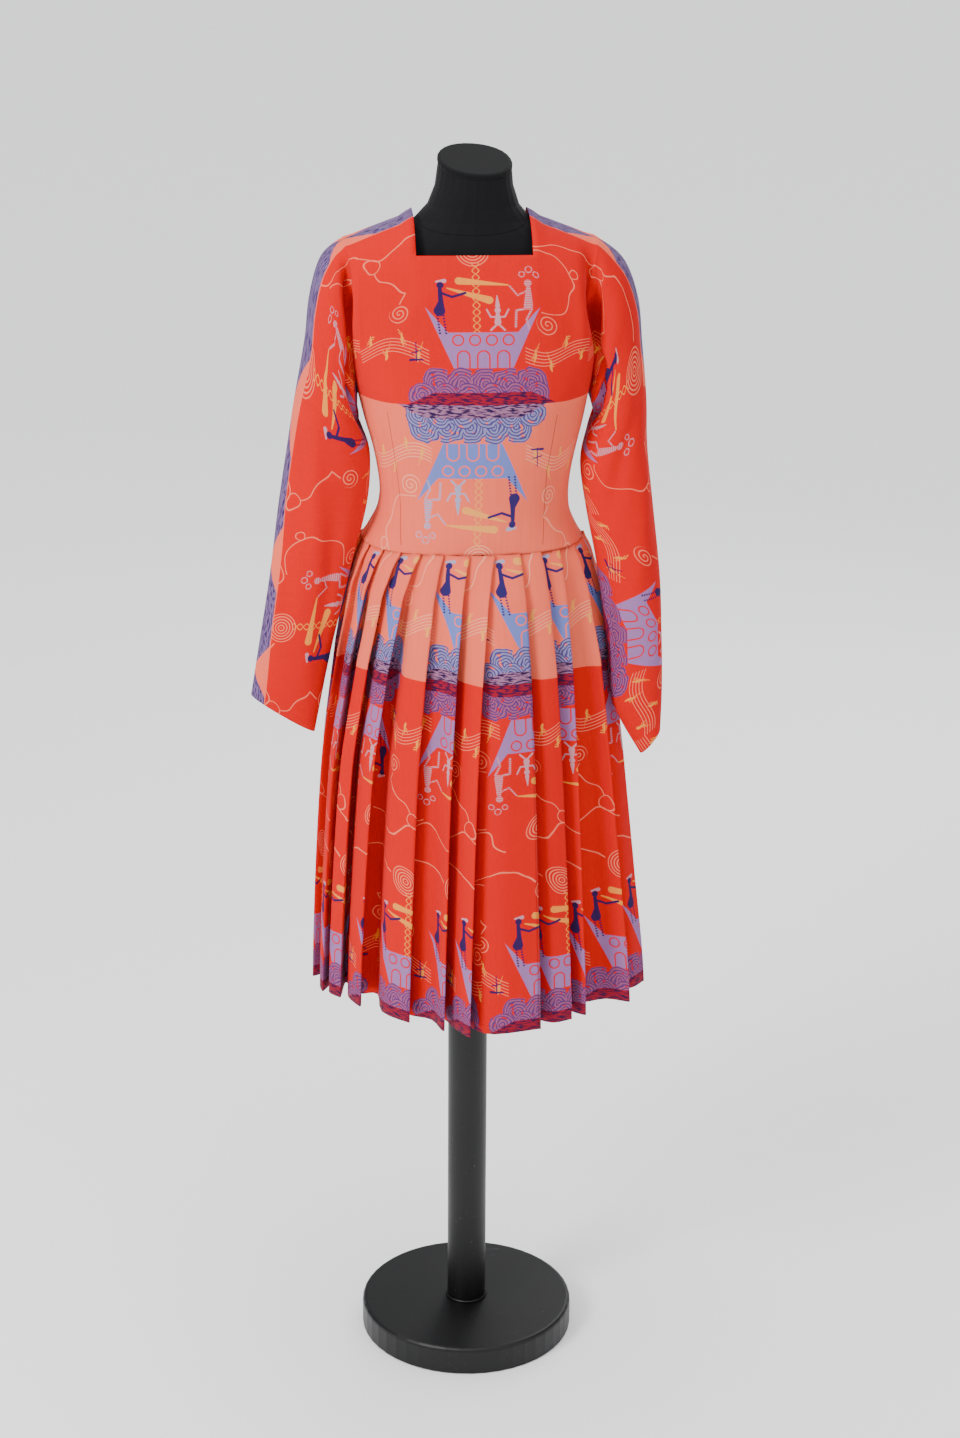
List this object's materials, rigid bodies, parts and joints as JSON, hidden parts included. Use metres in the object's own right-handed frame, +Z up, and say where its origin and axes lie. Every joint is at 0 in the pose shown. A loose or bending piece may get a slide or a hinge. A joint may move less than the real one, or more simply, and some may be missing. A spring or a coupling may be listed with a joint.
{
  "type": "tea dress on a dress form",
  "caption": "Long-sleeved printed day dress with a square neck and a knife-pleated skirt, worn by a limbless dress form on a pole and round base.",
  "frame": {"origin": "on the floor, under the middle of the whole object's box", "axes": "+Z up along the pole, -Y towards the front of the dress, +X towards the wearer's left sleeve"},
  "size_m": [0.564, 0.416, 1.7314],
  "materials": {
    "black_paint": "satin",
    "black_jersey": "matte knit",
    "salmon_cloth": "matte plain weave",
    "red_cloth": "matte plain weave"
  },
  "bodies": {
    "root": {"base_disc": "black_paint", "pole": "black_paint", "pole_ring": "black_paint", "form_torso": "black_jersey", "neck_cap": "black_jersey", "bodice_front": "salmon_cloth", "bodice_back": "salmon_cloth", "skirt_front": "red_cloth", "skirt_back": "red_cloth"}
  },
  "joints": []
}
